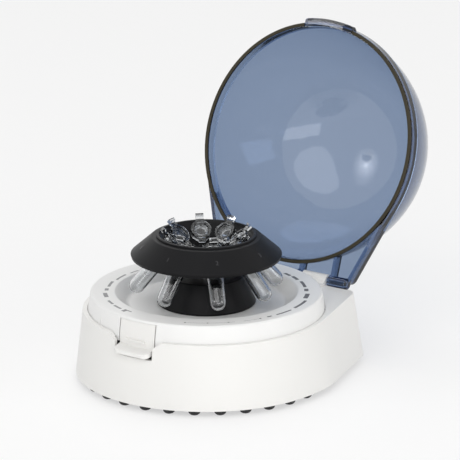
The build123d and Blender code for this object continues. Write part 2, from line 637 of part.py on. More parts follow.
# Latch tongue: a strip of the ring's wall with a ridge that holds the lid and a tab to press
with BuildPart() as latch_tongue:
    tongue_top_radius = SKIRT_RADIUS - WALL_LEAN * (TONGUE_TOP - LEDGE_HEIGHT)
    tab_root = TAB_TOP - TAB_THICKNESS
    with BuildSketch(Plane.XZ):
        with BuildLine():
            Polyline(
                (SKIRT_RADIUS, tab_root),
                (SKIRT_RADIUS, LEDGE_HEIGHT),
                (tongue_top_radius, TONGUE_TOP),
                (tongue_top_radius - COVER_THICKNESS, TONGUE_TOP),
                (SKIRT_RADIUS - COVER_THICKNESS, LEDGE_HEIGHT),
                (SKIRT_RADIUS - COVER_THICKNESS, tab_root),
                close=True,
            )
        make_face()
    revolve(axis=Axis.Z)
    with BuildSketch(Plane.XY):
        with Locations((0, -SKIRT_RADIUS)):
            Rectangle(2 * TONGUE_HALF_WIDTH, SKIRT_RADIUS)
    extrude(amount=RING_HEIGHT, mode=Mode.INTERSECT)
    with BuildSketch(Plane.XY.offset(RIDGE_HEIGHT)):
        Circle(RIDGE_RADIUS)
        with Locations((0, -RIDGE_RADIUS)):
            Rectangle(2 * RIDGE_HALF_WIDTH, 2 * COVER_THICKNESS + RIDGE_RADIUS - SKIRT_RADIUS, mode=Mode.INTERSECT)
    extrude(amount=RIDGE_THICKNESS / 2, both=True)
    with BuildSketch(Plane.YZ) as tab_side:
        with BuildLine():
            Polyline(
                (COVER_THICKNESS - SKIRT_RADIUS, TAB_TOP),
                (-TAB_REACH, TAB_TOP - TAB_DROP),
                (-TAB_REACH, TAB_TOP - TAB_DROP - TAB_THICKNESS),
                (COVER_THICKNESS - SKIRT_RADIUS, tab_root),
                close=True,
            )
        make_face()
        fillet(tab_side.vertices().group_by(Axis.X)[0], radius=TAB_THICKNESS / 3)
    extrude(amount=TONGUE_HALF_WIDTH, both=True)
    with BuildSketch(Plane.XY.offset(tab_root - TAB_DROP)) as tab_plan:
        with Locations((0, -TAB_REACH / 2)):
            Rectangle(2 * TONGUE_HALF_WIDTH, TAB_REACH)
        fillet(tab_plan.vertices().group_by(Axis.Y)[0], radius=TAB_CORNER)
    extrude(amount=RING_HEIGHT, mode=Mode.INTERSECT)
save(latch_tongue.part, "latch_tongue")

# Base plate: closes the housing from below, with vents, screw holes and standoffs for the board
plate_outline = housing_section(PLATE_TOP, WALL + PLATE_CLEARANCE)
board_points = []
for side in (-1, 1):
    for end in (-1, 1):
        hole_x = side * (BOARD_WIDTH / 2 - BOARD_HOLE_INSET)
        hole_y = BOARD_Y + end * (BOARD_DEPTH / 2 - BOARD_HOLE_INSET)
        board_points.append((hole_x, hole_y))
with BuildPart() as base_plate:
    with BuildSketch(Plane.XY.offset(FOOT_HEIGHT)):
        add(plate_outline)
    extrude(amount=PLATE_THICKNESS)
    with BuildSketch(Plane.XY.offset(PLATE_TOP)):
        with Locations(*board_points):
            Circle(STANDOFF_RADIUS)
    extrude(amount=BOARD_HEIGHT - PLATE_TOP)
    with BuildSketch(Plane.XY.offset(BOARD_HEIGHT)):
        with Locations(*board_points):
            Circle(BOARD_SCREW_RADIUS + SCREW_CLEARANCE)
    extrude(amount=-BOARD_SCREW_LENGTH, mode=Mode.SUBTRACT)
    with BuildSketch(Plane.XY.offset(FOOT_HEIGHT)):
        with PolarLocations(LEG_CENTRES_RADIUS, LEG_COUNT, start_angle=180 / LEG_COUNT):
            Circle(PLATE_SCREW_RADIUS + HEAD_CLEARANCE)
        with GridLocations(VENT_LENGTH, VENT_PITCH, 1, VENT_COUNT):
            SlotOverall(VENT_LENGTH, VENT_WIDTH)
    extrude(amount=PLATE_THICKNESS, mode=Mode.SUBTRACT)
    with BuildSketch(Plane.XY.offset(FOOT_HEIGHT)):
        with PolarLocations(LEG_CENTRES_RADIUS, LEG_COUNT, start_angle=180 / LEG_COUNT):
            Circle(PLATE_SCREW_HEAD_RADIUS + HEAD_CLEARANCE)
    extrude(amount=PLATE_SCREW_HEAD, mode=Mode.SUBTRACT)
save(base_plate.part, "base_plate")

# Four screws that hold the base plate up to the cover's legs
with BuildPart() as base_screws:
    with BuildSketch(Plane.XY.offset(FOOT_HEIGHT)):
        with PolarLocations(LEG_CENTRES_RADIUS, LEG_COUNT, start_angle=180 / LEG_COUNT):
            Circle(PLATE_SCREW_HEAD_RADIUS)
    extrude(amount=PLATE_SCREW_HEAD)
    with BuildSketch(Plane.XY.offset(FOOT_HEIGHT + PLATE_SCREW_HEAD)):
        with PolarLocations(LEG_CENTRES_RADIUS, LEG_COUNT, start_angle=180 / LEG_COUNT):
            Circle(PLATE_SCREW_RADIUS)
    extrude(amount=PLATE_SCREW_LENGTH)
save(base_screws.part, "base_screws")

# Rubber feet: domed studs round the front of the base, with a row along the back
foot_points = []
for step in range(FOOT_COUNT):
    foot_points.append(around(FOOT_CENTRES_RADIUS, (step - (FOOT_COUNT - 1) / 2) * FOOT_STEP_ANGLE))
for step in range(REAR_FOOT_COUNT):
    foot_points.append(((step - (REAR_FOOT_COUNT - 1) / 2) * REAR_FOOT_PITCH, REAR_FACE - REAR_FOOT_SET))
for side in (-1, 1):
    side_way = radians(SIDE_TANGENT_ANGLE)
    corner_foot_x = (FOOT_CENTRES_RADIUS + CORNER_FOOT_Y * cos(side_way)) / sin(side_way)
    foot_points.append((side * corner_foot_x, CORNER_FOOT_Y))
with BuildPart() as foot:
    with BuildSketch(Plane.XZ):
        with BuildLine():
            Polyline((FOOT_FLAT_RADIUS, 0), (0, 0), (0, FOOT_HEIGHT), (FOOT_RADIUS, FOOT_HEIGHT))
            Line((FOOT_RADIUS, FOOT_HEIGHT), (FOOT_RADIUS, FOOT_HEIGHT - FOOT_EDGE))
            foot_bulge = (FOOT_FLAT_RADIUS + 0.78 * (FOOT_RADIUS - FOOT_FLAT_RADIUS), 0.3 * FOOT_HEIGHT)
            ThreePointArc((FOOT_RADIUS, FOOT_HEIGHT - FOOT_EDGE), foot_bulge, (FOOT_FLAT_RADIUS, 0))
        make_face()
    revolve(axis=Axis.Z)
with BuildPart() as rubber_feet:
    with Locations(*foot_points):
        add(foot.part)
save(rubber_feet.part, "rubber_feet")

# Motor: a drawn can with a plastic end cap, two bearings and a mount plate on soft grommets
with BuildPart() as motor_can:
    with BuildSketch(Plane.XY.offset(MOTOR_BOTTOM + MOTOR_CAP)):
        Circle(MOTOR_RADIUS)
        Circle(SPINDLE_RADIUS + HEAD_CLEARANCE, mode=Mode.SUBTRACT)
    extrude(amount=MOTOR_LENGTH - MOTOR_CAP)
    with BuildSketch(Plane.XY.offset(MOTOR_TOP)):
        Circle(BEARING_RADIUS)
    extrude(amount=-BEARING_WIDTH, mode=Mode.SUBTRACT)
    with BuildSketch(Plane.XY.offset(MOTOR_TOP)):
        with PolarLocations(MOTOR_SCREW_CENTRES_RADIUS, 2, start_angle=90):
            Circle(MOUNT_SCREW_RADIUS + SCREW_CLEARANCE)
    extrude(amount=-MOTOR_SCREW_LENGTH, mode=Mode.SUBTRACT)
save(motor_can.part, "motor_can")

with BuildPart() as motor_end_cap:
    with BuildSketch(Plane.XY.offset(MOTOR_BOTTOM)):
        Circle(MOTOR_RADIUS)
    extrude(amount=MOTOR_CAP)
    with BuildSketch(Plane.XY.offset(MOTOR_BOTTOM + MOTOR_CAP)):
        Circle(BEARING_RADIUS)
    extrude(amount=-BEARING_WIDTH, mode=Mode.SUBTRACT)
    with BuildSketch(Plane.XY.offset(MOTOR_BOTTOM)):
        with GridLocations(MOTOR_RADIUS, MOTOR_RADIUS, 2, 1):
            Rectangle(TERMINAL_THICKNESS, TERMINAL_WIDTH)
    extrude(amount=-MOTOR_CAP)
    low_rim = motor_end_cap.edges().filter_by(GeomType.CIRCLE).filter_by_position(Axis.Z, MOTOR_BOTTOM, MOTOR_BOTTOM)
    fillet(low_rim, radius=MOTOR_CAP_ROUND)
save(motor_end_cap.part, "motor_end_cap")

with BuildPart() as motor_bearings:
    for low in (MOTOR_TOP - BEARING_WIDTH, MOTOR_BOTTOM + MOTOR_CAP - BEARING_WIDTH):
        with BuildSketch(Plane.XY.offset(low)):
            Circle(BEARING_RADIUS)
            Circle(SPINDLE_RADIUS + SHAFT_FIT, mode=Mode.SUBTRACT)
        extrude(amount=BEARING_WIDTH)
save(motor_bearings.part, "motor_bearings")

with BuildPart() as motor_mount_plate:
    with BuildSketch(Plane.XY.offset(MOTOR_TOP)):
        Circle(MOUNT_PLATE_RADIUS)
        Circle(BEARING_RADIUS + HEAD_CLEARANCE, mode=Mode.SUBTRACT)
        with PolarLocations(BOSS_CENTRES_RADIUS, BOSS_COUNT):
            Circle(MOUNT_SCREW_RADIUS + HEAD_CLEARANCE, mode=Mode.SUBTRACT)
        with PolarLocations(MOTOR_SCREW_CENTRES_RADIUS, 2, start_angle=90):
            Circle(MOUNT_SCREW_RADIUS + HEAD_CLEARANCE, mode=Mode.SUBTRACT)
    extrude(amount=MOUNT_PLATE)
save(motor_mount_plate.part, "motor_mount_plate")

with BuildPart() as damper_grommets:
    with BuildSketch(Plane.XY.offset(BOSS_TOP)):
        with PolarLocations(BOSS_CENTRES_RADIUS, BOSS_COUNT):
            Circle(GROMMET_RADIUS)
            Circle(MOUNT_SCREW_RADIUS + HEAD_CLEARANCE, mode=Mode.SUBTRACT)
    extrude(amount=GROMMET_THICKNESS)
save(damper_grommets.part, "damper_grommets")

with BuildPart() as mount_screws:
    with BuildSketch(Plane.XY.offset(MOUNT_PLATE_TOP)):
        with PolarLocations(BOSS_CENTRES_RADIUS, BOSS_COUNT):
            Circle(SMALL_HEAD_RADIUS)
    extrude(amount=SMALL_HEAD)
    with BuildSketch(Plane.XY.offset(MOUNT_PLATE_TOP)):
        with PolarLocations(BOSS_CENTRES_RADIUS, BOSS_COUNT):
            Circle(MOUNT_SCREW_RADIUS)
    extrude(amount=-MOUNT_SCREW_LENGTH + SCREW_CLEARANCE)
save(mount_screws.part, "mount_screws")

with BuildPart() as motor_screws:
    with BuildSketch(Plane.XY.offset(MOUNT_PLATE_TOP)):
        with PolarLocations(MOTOR_SCREW_CENTRES_RADIUS, 2, start_angle=90):
            Circle(SMALL_HEAD_RADIUS)
    extrude(amount=SMALL_HEAD)
    with BuildSketch(Plane.XY.offset(MOUNT_PLATE_TOP)):
        with PolarLocations(MOTOR_SCREW_CENTRES_RADIUS, 2, start_angle=90):
            Circle(MOUNT_SCREW_RADIUS)
    extrude(amount=-MOTOR_SCREW_LENGTH)
save(motor_screws.part, "motor_screws")

# Motor cowl: the black cone that covers the motor where it stands up through the bowl
with BuildPart() as motor_cowl:
    cowl_rise = COWL_TOP - BOWL_FLOOR_HEIGHT
    cowl_lean = (COWL_FOOT_RADIUS - COWL_TOP_RADIUS) / cowl_rise
    with BuildSketch(Plane.XZ) as cowl_profile:
        with BuildLine():
            Polyline(
                (COWL_FOOT_RADIUS, BOWL_FLOOR_HEIGHT),
                (COWL_TOP_RADIUS, COWL_TOP),
                (COWL_OPENING, COWL_TOP),
                (COWL_OPENING, COWL_TOP - COWL_WALL),
                (COWL_TOP_RADIUS + cowl_lean * COWL_WALL - COWL_WALL, COWL_TOP - COWL_WALL),
                (COWL_FOOT_RADIUS - COWL_WALL, BOWL_FLOOR_HEIGHT),
                close=True,
            )
        make_face()
        rounded(cowl_profile, (COWL_FOOT_RADIUS, BOWL_FLOOR_HEIGHT), COWL_ROUND)
        rounded(cowl_profile, (COWL_TOP_RADIUS, COWL_TOP), COWL_ROUND)
    revolve(axis=Axis.Z)
save(motor_cowl.part, "motor_cowl")

# Spindle, the hub that drives the rotor and the ring that grips its bore
with BuildPart() as spindle:
    with BuildSketch(Plane.XY.offset(MOTOR_BOTTOM + MOTOR_CAP - BEARING_WIDTH)):
        Circle(SPINDLE_RADIUS)
    extrude(amount=SPINDLE_TOP - MOTOR_BOTTOM - MOTOR_CAP + BEARING_WIDTH)
save(spindle.part, "spindle")

with BuildPart() as drive_hub:
    with BuildSketch(Plane.XZ) as hub_profile:
        with BuildLine():
            Polyline(
                (0, SPINDLE_TOP),
                (0, NECK_TOP),
                (NECK_RADIUS - NECK_TIP, NECK_TOP),
                (NECK_RADIUS, NECK_TOP - NECK_TIP),
                (NECK_RADIUS, ROTOR_SEAT),
                (HUB_FLANGE_RADIUS, ROTOR_SEAT),
                (HUB_FLANGE_RADIUS, HUB_FLANGE_BOTTOM),
                (SPINDLE_RADIUS, HUB_FLANGE_BOTTOM),
                (SPINDLE_RADIUS, SPINDLE_TOP),
                close=True,
            )
        make_face()
        with Locations((NECK_RADIUS, RING_SEAT_HEIGHT)):
            Rectangle(4 * RING_WIRE, 2 * RING_WIRE, mode=Mode.SUBTRACT)
    revolve(axis=Axis.Z)
save(drive_hub.part, "drive_hub")

with BuildPart() as grip_ring:
    with BuildSketch(Plane.XZ):
        with Locations((NECK_RADIUS - RING_WIRE, RING_SEAT_HEIGHT)):
            RegularPolygon(RING_WIRE, 8)
    revolve(axis=Axis.Z)
save(grip_ring.part, "grip_ring")


def on_dish(radius):
    """Height of the rotor dish's upper face at a radius."""
    return DISH_RIM_HEIGHT - (DISH_RIM_RADIUS - radius) * tan(TILT)


# Rotor: a dish that holds the tubes by their collars, with an umbrella skirt round its outside
with BuildPart() as rotor:
    skirt_lean = SKIRT_RISE / SKIRT_REACH
    skirt_drop = SKIRT_THICKNESS * (1 + skirt_lean**2) ** 0.5
    dish_drop = DISH_THICKNESS / cos(TILT)
    lip_radius = DISH_RIM_RADIUS + DISH_LIP_WIDTH
    under_skirt = SKIRT_TOP + SKIRT_TOP_RADIUS * skirt_lean - skirt_drop
    under_dish = DISH_RIM_HEIGHT - DISH_RIM_RADIUS * tan(TILT) - dish_drop
    crotch_radius = (under_skirt - under_dish) / (skirt_lean + tan(TILT))
    skirt_inner = (under_skirt - ROTOR_RIM_BOTTOM) / skirt_lean
    with BuildSketch(Plane.XZ) as rotor_profile:
        with BuildLine():
            Polyline(
                (NECK_RADIUS + ROTOR_FIT, ROTOR_SEAT),
                (ROTOR_HUB_RADIUS, ROTOR_SEAT),
                (ROTOR_HUB_RADIUS, under_dish + ROTOR_HUB_RADIUS * tan(TILT)),
                (crotch_radius, under_dish + crotch_radius * tan(TILT)),
                (skirt_inner, ROTOR_RIM_BOTTOM),
                (ROTOR_RADIUS - ROTOR_LIP_SET, ROTOR_RIM_BOTTOM),
                (ROTOR_RADIUS, ROTOR_RIM_BOTTOM + ROTOR_LIP),
                (SKIRT_TOP_RADIUS, SKIRT_TOP),
                (lip_radius, SKIRT_TOP + LIP_GROOVE_RISE),
                (lip_radius, DISH_RIM_HEIGHT + DISH_LIP_RISE),
                (DISH_RIM_RADIUS + DISH_LIP_EDGE, DISH_RIM_HEIGHT + DISH_LIP_RISE),
                (DISH_RIM_RADIUS, DISH_RIM_HEIGHT),
                (DISH_CENTRE_RADIUS, on_dish(DISH_CENTRE_RADIUS)),
                (ROTOR_BOSS_RADIUS, on_dish(DISH_CENTRE_RADIUS)),
                (ROTOR_BOSS_RADIUS, ROTOR_HUB_TOP),
                (NECK_RADIUS + ROTOR_FIT, ROTOR_HUB_TOP),
                close=True,
            )
        make_face()
        rounded(rotor_profile, (SKIRT_TOP_RADIUS, SKIRT_TOP), ROTOR_ROUND)
        rounded(rotor_profile, (lip_radius, DISH_RIM_HEIGHT + DISH_LIP_RISE), LIP_ROUND)
    revolve(axis=Axis.Z)
    for step in range(TUBE_COUNT):
        outward = around(1, step * 360 / TUBE_COUNT)
        tube_axis = (-outward[0] * sin(TILT), -outward[1] * sin(TILT), cos(TILT))
        seat = (outward[0] * TUBE_AXIS_RADIUS, outward[1] * TUBE_AXIS_RADIUS, DISH_HEIGHT)
        with BuildSketch(Plane(origin=seat, z_dir=tube_axis)):
            Circle(TUBE_RADIUS + TUBE_HOLE_CLEARANCE)
        extrude(amount=1.5 * DISH_THICKNESS, both=True, mode=Mode.SUBTRACT)
        with BuildSketch(Plane(origin=seat, z_dir=tube_axis)):
            Circle(COLLAR_RADIUS + SPOT_FACE_CLEARANCE)
        extrude(amount=COLLAR_THICKNESS, mode=Mode.SUBTRACT)
save(rotor.part, "rotor")

# A round-bottomed 2 ml tube with its cap closed, drawn upright with its collar's underside at the origin
with BuildPart() as tube_body:
    with BuildSketch(Plane.XZ):
        with BuildLine():
            tip_arc = ThreePointArc(
                (TUBE_END_RADIUS, -TUBE_REACH),
                (TUBE_END_RADIUS * sin(radians(45)), -TUBE_REACH - TUBE_END_RADIUS * cos(radians(45))),
                (0, -TUBE_REACH - TUBE_END_RADIUS),
            )
            bore_end = TUBE_END_RADIUS - TUBE_WALL
            Line(tip_arc @ 1, (0, -TUBE_REACH - bore_end))
            ThreePointArc(
                (0, -TUBE_REACH - bore_end),
                (bore_end * sin(radians(45)), -TUBE_REACH - bore_end * cos(radians(45))),
                (bore_end, -TUBE_REACH),
            )
            Polyline(
                (bore_end, -TUBE_REACH),
                (TUBE_RADIUS - TUBE_WALL, 0),
                (TUBE_RADIUS - TUBE_WALL, NECK_HEIGHT),
                (TUBE_NECK_RADIUS, NECK_HEIGHT),
                (TUBE_NECK_RADIUS, COLLAR_THICKNESS),
                (COLLAR_RADIUS, COLLAR_THICKNESS),
                (COLLAR_RADIUS, 0),
                (TUBE_RADIUS, 0),
                (TUBE_END_RADIUS, -TUBE_REACH),
            )
        make_face()
    revolve(axis=Axis.Z)

with BuildPart() as tube_cap:
    plug_radius = TUBE_RADIUS - TUBE_WALL - PLUG_FIT
    with BuildSketch(Plane.XZ):
        with BuildLine():
            Polyline(
                (0, CAP_TOP - CAP_RECESS),
                (CAP_RECESS_RADIUS, CAP_TOP - CAP_RECESS),
                (CAP_RECESS_RADIUS, CAP_TOP),
                (CAP_RADIUS, CAP_TOP),
                (CAP_RADIUS, NECK_HEIGHT),
                (plug_radius, NECK_HEIGHT),
                (plug_radius, NECK_HEIGHT - PLUG_DEPTH),
                (plug_radius - TUBE_WALL, NECK_HEIGHT - PLUG_DEPTH),
                (plug_radius - TUBE_WALL, NECK_HEIGHT + TUBE_WALL / 2),
                (0, NECK_HEIGHT + TUBE_WALL / 2),
                close=True,
            )
        make_face()
    revolve(axis=Axis.Z)
    tab_low = CAP_TOP - CAP_TAB_THICKNESS
    with BuildSketch(Plane.XZ.offset(-CAP_TAB_WIDTH / 2)):
        with BuildLine():
            Polyline(
                (CAP_RECESS_RADIUS + TUBE_WALL, tab_low),
                (CAP_TAB_REACH, tab_low),
                (CAP_TAB_REACH, CAP_TOP + CAP_TAB_LIP),
                (CAP_TAB_REACH - CAP_TAB_THICKNESS, CAP_TOP + CAP_TAB_LIP),
                (CAP_TAB_REACH - 1.5 * CAP_TAB_THICKNESS, CAP_TOP),
                (CAP_RECESS_RADIUS + TUBE_WALL, CAP_TOP),
                close=True,
            )
        make_face()
    extrude(amount=CAP_TAB_WIDTH)
    with BuildSketch(Plane.XZ.offset(-STRAP_WIDTH / 2)):
        with BuildLine():
            Polyline(
                (-CAP_RECESS_RADIUS - TUBE_WALL, CAP_TOP - TUBE_WALL / 2),
                (-STRAP_REACH, NECK_HEIGHT + TUBE_WALL),
                (-STRAP_REACH + TUBE_WALL / 2, COLLAR_THICKNESS / 2),
                (-COLLAR_RADIUS - PLUG_FIT, COLLAR_THICKNESS / 3),
                (-COLLAR_RADIUS - PLUG_FIT, NECK_HEIGHT + PLUG_FIT),
                (-CAP_RECESS_RADIUS - TUBE_WALL, NECK_HEIGHT + PLUG_FIT),
                close=True,
            )
        make_face()
    extrude(amount=STRAP_WIDTH)

for step in range(TUBE_COUNT):
    outward = around(1, step * 360 / TUBE_COUNT)
    tube_seat = Plane(
        origin=(outward[0] * TUBE_AXIS_RADIUS, outward[1] * TUBE_AXIS_RADIUS, DISH_HEIGHT),
        x_dir=(outward[0] * cos(TILT), outward[1] * cos(TILT), sin(TILT)),
        z_dir=(-outward[0] * sin(TILT), -outward[1] * sin(TILT), cos(TILT)),
    )
    tube = Compound(children=[tube_body.part.moved(tube_seat.location), tube_cap.part.moved(tube_seat.location)])
    save(tube, f"tube_{step + 1}")

# Lid catch, drawn closed: a lip that hangs into the housing's notch, a slot for the ridge and a ribbed grip
with BuildPart() as lid_catch:
    grip_radius = RIM_RADIUS + GRIP_REACH
    catch_top = LID_EDGE_Z + CATCH_TOP_RISE
    with BuildSketch(Plane.XZ):
        with BuildLine():
            Polyline(
                (CATCH_INNER_RADIUS, CATCH_BOTTOM),
                (RIM_RADIUS + CATCH_FOOT_REACH, CATCH_BOTTOM),
                (grip_radius, CATCH_BOTTOM + GRIP_BEVEL),
                (grip_radius, catch_top - GRIP_BEVEL),
                (RIM_RADIUS - CATCH_FOOT_REACH, catch_top + GRIP_BEVEL),
                (CATCH_INNER_RADIUS, catch_top + GRIP_BEVEL),
                close=True,
            )
        make_face()
    revolve(axis=Axis.Z)
    with BuildSketch(Plane.XZ):
        with BuildLine():
            Polyline(
                (-CATCH_LOW_HALF_WIDTH, CATCH_BOTTOM),
                (CATCH_LOW_HALF_WIDTH, CATCH_BOTTOM),
                (CATCH_HALF_WIDTH, RIM_Z),
                (CATCH_HALF_WIDTH, catch_top + GRIP_BEVEL),
                (-CATCH_HALF_WIDTH, catch_top + GRIP_BEVEL),
                (-CATCH_HALF_WIDTH, RIM_Z),
                close=True,
            )
        make_face()
    extrude(amount=grip_radius + GRIP_REACH, mode=Mode.INTERSECT)
    with BuildSketch(Plane.XY.offset(RIDGE_HEIGHT)):
        Circle(CATCH_INNER_RADIUS + CATCH_SLOT_DEPTH)
        with Locations((0, -CATCH_INNER_RADIUS)):
            Rectangle(2 * CATCH_SLOT_HALF_WIDTH, 4 * CATCH_SLOT_DEPTH, mode=Mode.INTERSECT)
    extrude(amount=CATCH_SLOT_HEIGHT / 2, both=True, mode=Mode.SUBTRACT)
    for step in range(GRIP_GROOVE_COUNT):
        groove_angle = degrees((step - (GRIP_GROOVE_COUNT - 1) / 2) * GRIP_GROOVE_PITCH / grip_radius)
        with BuildSketch(facing(grip_radius - GRIP_GROOVE_DEPTH, groove_angle)):
            with Locations((0, (CATCH_BOTTOM + catch_top) / 2)):
                Rectangle(GRIP_GROOVE_WIDTH, catch_top - CATCH_BOTTOM - 2 * GRIP_BEVEL)
        extrude(amount=GRIP_REACH, mode=Mode.SUBTRACT)

# One of the lid's two knuckles, with its outer end closed and rounded
with BuildPart() as lid_knuckle:
    with BuildSketch(Plane.YZ.offset(KNUCKLE_START)):
        with Locations((HINGE_Y, HINGE_Z)):
            Circle(KNUCKLE_RADIUS)
    extrude(amount=KNUCKLE_LENGTH)
    fillet(lid_knuckle.faces().sort_by(Axis.X)[-1].edges(), radius=KNUCKLE_ROUND)

# Lid: a clear dome with its hinge arms, web, ribs, knuckles, switch pip and catch in one moulding, drawn closed
dome_outside = dome_profile(0)
dome_inside = dome_profile(LID_WALL)
web_plan = plan_outline(RIM_RADIUS, HINGE_Y, STRUT_CORNER, STRUT_TANGENT_ANGLE)
web_core = plan_outline(RIM_RADIUS - STRUT_WALL, HINGE_Y + STRUT_WALL, 0, STRUT_TANGENT_ANGLE)
with BuildPart() as lid_dome:
    add(dome_outside)
    revolve(axis=Axis.Z)
    with BuildSketch(Plane.XY.offset(LID_EDGE_Z)):
        add(web_plan)
        add(web_core, mode=Mode.SUBTRACT)
    extrude(amount=RIM_Z + WEB_HEIGHT + WEB_THICKNESS - LID_EDGE_Z)
    with BuildSketch(Plane.XY.offset(RIM_Z + WEB_HEIGHT)):
        add(web_plan)
    extrude(amount=WEB_THICKNESS)
    for side in (-1, 1):
        for rib in (RIB_INNER, RIB_OUTER):
            with BuildSketch(Plane.YZ.offset(side * rib)):
                with Locations((HINGE_Y - RIM_RADIUS / 4, (LID_EDGE_Z + RIM_Z + WEB_HEIGHT) / 2)):
                    Rectangle(RIM_RADIUS / 2, RIM_Z + WEB_HEIGHT - LID_EDGE_Z)
                with Locations((HINGE_Y, HINGE_Z)):
                    Circle(KNUCKLE_RADIUS)
            extrude(amount=side * RIB_THICKNESS)
        with BuildSketch(Plane.YZ.offset(side * KNUCKLE_START)):
            with Locations((HINGE_Y - KNUCKLE_RADIUS / 2, (HINGE_Z + RIM_Z + WEB_HEIGHT) / 2)):
                Rectangle(KNUCKLE_RADIUS, RIM_Z + WEB_HEIGHT - HINGE_Z)
        extrude(amount=side * (KNUCKLE_LENGTH - STRUT_CORNER / 2))
    add(lid_knuckle.part)
    add(lid_knuckle.part.mirror(Plane.YZ))
    with BuildSketch(Plane.XY.offset(PIP_BOTTOM)):
        with Locations((SENSOR_X, SENSOR_Y)):
            Circle(PIP_RADIUS)
    extrude(amount=LID_EDGE_Z - PIP_BOTTOM)
    add(lid_catch.part)
    with BuildSketch(Plane.YZ):
        with Locations((HINGE_Y, HINGE_Z)):
            Circle(HINGE_PIN_RADIUS + HINGE_FIT)
    extrude(amount=HINGE_PIN_END + HEAD_CLEARANCE, both=True, mode=Mode.SUBTRACT)
    add(dome_inside)
    revolve(axis=Axis.Z, mode=Mode.SUBTRACT)
save(opened(lid_dome.part), "lid_dome")

# Seal: a flat rubber ring under the dome's edge, open where the catch passes
with BuildPart() as lid_seal:
    with BuildSketch(Plane.XY.offset(RIM_Z)):
        Circle(RIM_RADIUS - SEAL_INSET)
        Circle(RIM_RADIUS - LID_WALL + SEAL_INSET, mode=Mode.SUBTRACT)
        with Locations((0, -RIM_RADIUS)):
            Rectangle(2 * (CATCH_HALF_WIDTH + SEAL_INSET), RIM_RADIUS, mode=Mode.SUBTRACT)
    extrude(amount=SEAL_THICKNESS)
save(opened(lid_seal.part), "lid_seal")

# Hinge pins: each runs through a rib, a hinge block and a knuckle
with BuildPart() as hinge_pins:
    for side in (-1, 1):
        with BuildSketch(Plane.YZ.offset(side * RIB_INNER)):
            with Locations((HINGE_Y, HINGE_Z)):
                Circle(HINGE_PIN_RADIUS)
        extrude(amount=side * (HINGE_PIN_END - RIB_INNER))
save(hinge_pins.part, "hinge_pins")

# Control board on the base plate's standoffs, with two connectors, and the screws that hold it
with BuildPart() as control_board:
    with BuildSketch(Plane.XY.offset(BOARD_HEIGHT)):
        with Locations((0, BOARD_Y)):
            Rectangle(BOARD_WIDTH, BOARD_DEPTH)
        with Locations(*board_points):
            Circle(BOARD_SCREW_RADIUS + SCREW_CLEARANCE, mode=Mode.SUBTRACT)
    extrude(amount=BOARD_THICKNESS)
    with BuildSketch(Plane.XY.offset(BOARD_HEIGHT + BOARD_THICKNESS)):
        with Locations((-CONNECTOR_SPREAD, BOARD_Y), (CONNECTOR_SPREAD, BOARD_Y)):
            Rectangle(CONNECTOR_WIDTH, CONNECTOR_LENGTH)
    extrude(amount=CONNECTOR_HEIGHT)
save(control_board.part, "control_board")

with BuildPart() as board_screws:
    with BuildSketch(Plane.XY.offset(BOARD_HEIGHT + BOARD_THICKNESS)):
        with Locations(*board_points):
            Circle(SMALL_HEAD_RADIUS)
    extrude(amount=SMALL_HEAD)
    with BuildSketch(Plane.XY.offset(BOARD_HEIGHT + BOARD_THICKNESS)):
        with Locations(*board_points):
            Circle(BOARD_SCREW_RADIUS)
    extrude(amount=-BOARD_SCREW_LENGTH)
save(board_screws.part, "board_screws")

# Power inlet: a round socket in the back panel with a centre pin
with BuildPart() as inlet_body:
    with BuildSketch(Plane.XZ.offset(-REAR_FACE)):
        with Locations((INLET_X, PANEL_HEIGHT)):
            Circle(INLET_FLANGE_RADIUS)
    extrude(amount=-INLET_FLANGE)
    with BuildSketch(Plane.XZ.offset(-REAR_FACE)):
        with Locations((INLET_X, PANEL_HEIGHT)):
            Circle(INLET_BARREL_RADIUS)
    extrude(amount=INLET_DEPTH)
    with BuildSketch(Plane.XZ.offset(-REAR_FACE - INLET_FLANGE)):
        with Locations((INLET_X, PANEL_HEIGHT)):
            Circle(INLET_HOLE_RADIUS)
    extrude(amount=INLET_HOLE_DEPTH, mode=Mode.SUBTRACT)
save(inlet_body.part, "inlet_body")

with BuildPart() as inlet_pin:
    with BuildSketch(Plane.XZ.offset(-REAR_FACE - INLET_FLANGE + INLET_HOLE_DEPTH)):
        with Locations((INLET_X, PANEL_HEIGHT)):
            Circle(INLET_PIN_RADIUS)
    extrude(amount=-INLET_PIN_LENGTH)
save(inlet_pin.part, "inlet_pin")

# Power switch: a body with a pocket, and a rocker that turns in it on two stubs
with BuildPart() as switch_body:
    with BuildSketch(Plane.XZ.offset(-REAR_FACE)):
        with Locations((SWITCH_X, PANEL_HEIGHT)):
            RectangleRounded(
                2 * (SWITCH_HALF_WIDTH + SWITCH_BEZEL),
                2 * (SWITCH_HALF_HEIGHT + SWITCH_BEZEL),
                SWITCH_BEZEL,
            )
    extrude(amount=-SWITCH_BEZEL_THICKNESS)
    with BuildSketch(Plane.XZ.offset(-REAR_FACE)):
        with Locations((SWITCH_X, PANEL_HEIGHT)):
            Rectangle(2 * SWITCH_HALF_WIDTH, 2 * SWITCH_HALF_HEIGHT)
    extrude(amount=SWITCH_DEPTH)
    with BuildSketch(Plane.XZ.offset(-BEZEL_FACE)):
        with Locations((SWITCH_X, PANEL_HEIGHT)):
            Rectangle(2 * (ROCKER_HALF_WIDTH + ROCKER_GAP / 2), 2 * (ROCKER_HALF_HEIGHT + ROCKER_GAP))
    extrude(amount=ROCKER_PIVOT_DEPTH + ROCKER_DRUM_RADIUS + ROCKER_GAP, mode=Mode.SUBTRACT)
    with BuildSketch(Plane.YZ.offset(SWITCH_X)):
        with Locations((ROCKER_Y, PANEL_HEIGHT)):
            Circle(ROCKER_STUB_RADIUS + SHAFT_FIT)
    extrude(amount=ROCKER_STUB_END + SHAFT_FIT, both=True, mode=Mode.SUBTRACT)
save(switch_body.part, "switch_body")

